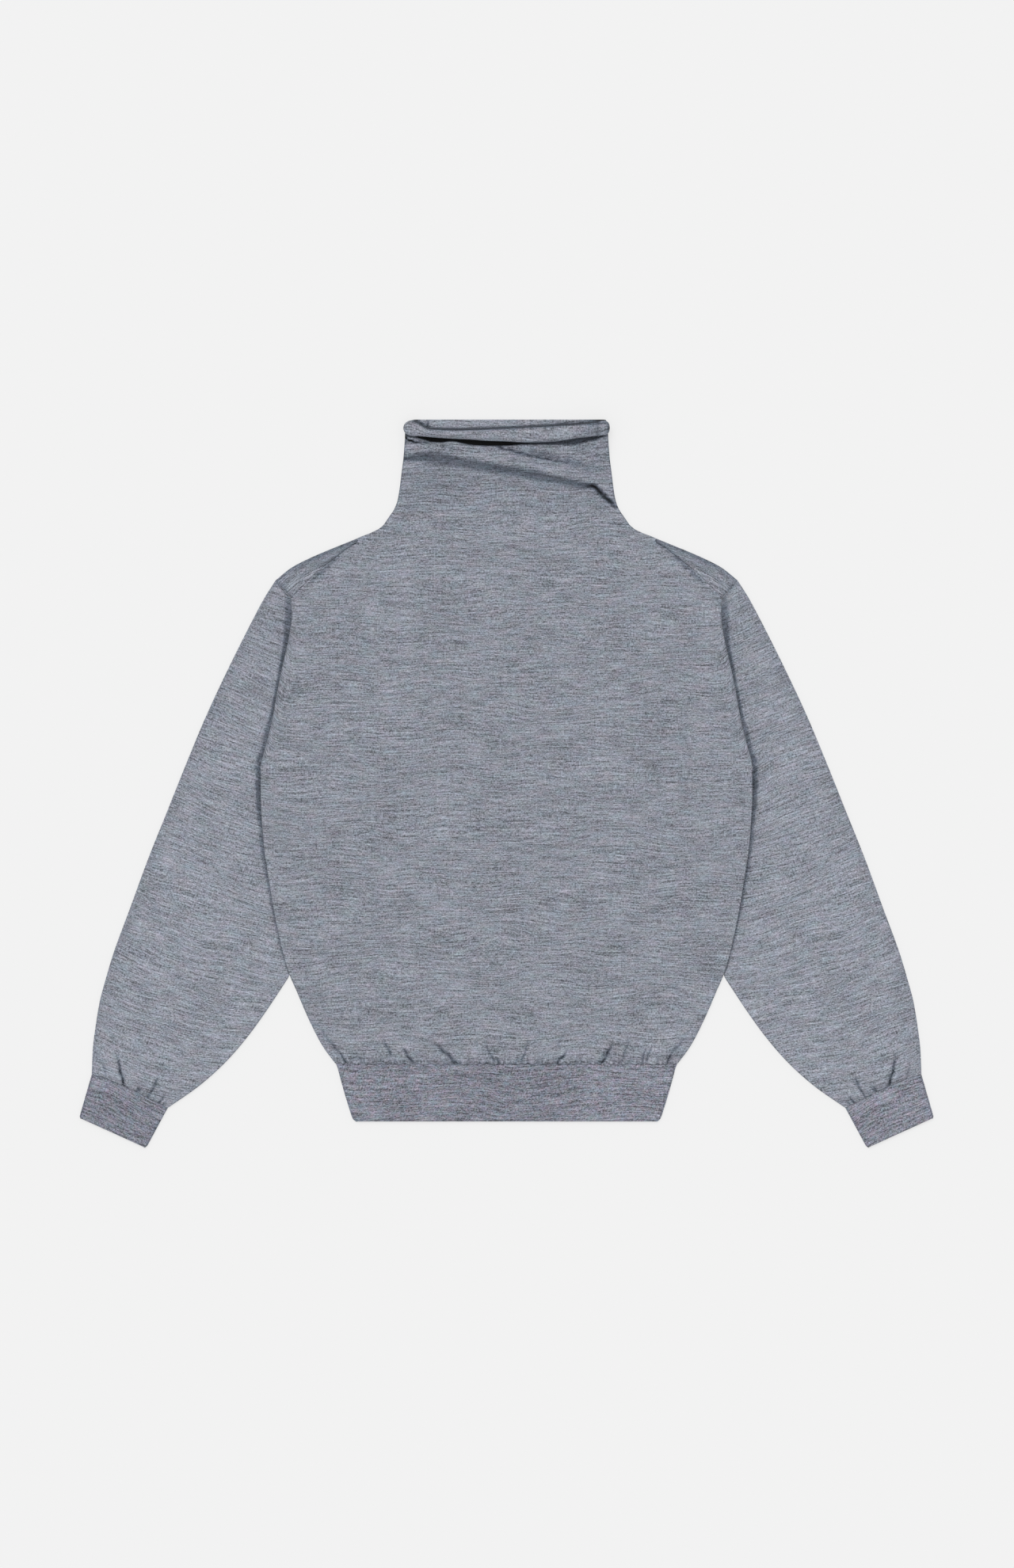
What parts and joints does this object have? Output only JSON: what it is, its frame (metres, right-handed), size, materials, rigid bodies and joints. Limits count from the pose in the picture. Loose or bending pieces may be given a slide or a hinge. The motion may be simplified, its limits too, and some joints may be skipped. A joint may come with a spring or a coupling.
{
  "type": "cowl neck sweater",
  "caption": "Relaxed fine-knit pullover laid out flat: funnel neck with a rolled rim, set-in sleeves, ribbed cuffs and hem band.",
  "frame": {"origin": "middle of the laid-out sweater's outline, on the surface that it lies on", "axes": "+X to the viewer's right across the laid-out sweater, from cuff to cuff; +Y up the garment from hem to neck; +Z out of the front, away from the surface"},
  "size_m": [0.9712, 0.827, 0.0142],
  "materials": {
    "melange_jersey": "fine matte jersey, grey melange with short level streaks of light and dark yarn",
    "melange_rib": "fine matte rib in the same melange yarn, a little darker"
  },
  "bodies": {
    "root": {"front_panel": "melange_jersey", "back_panel": "melange_jersey", "sleeve_left": "melange_jersey", "sleeve_right": "melange_jersey", "cuff_left": "melange_rib", "cuff_right": "melange_rib", "hem_band": "melange_rib"}
  },
  "joints": []
}
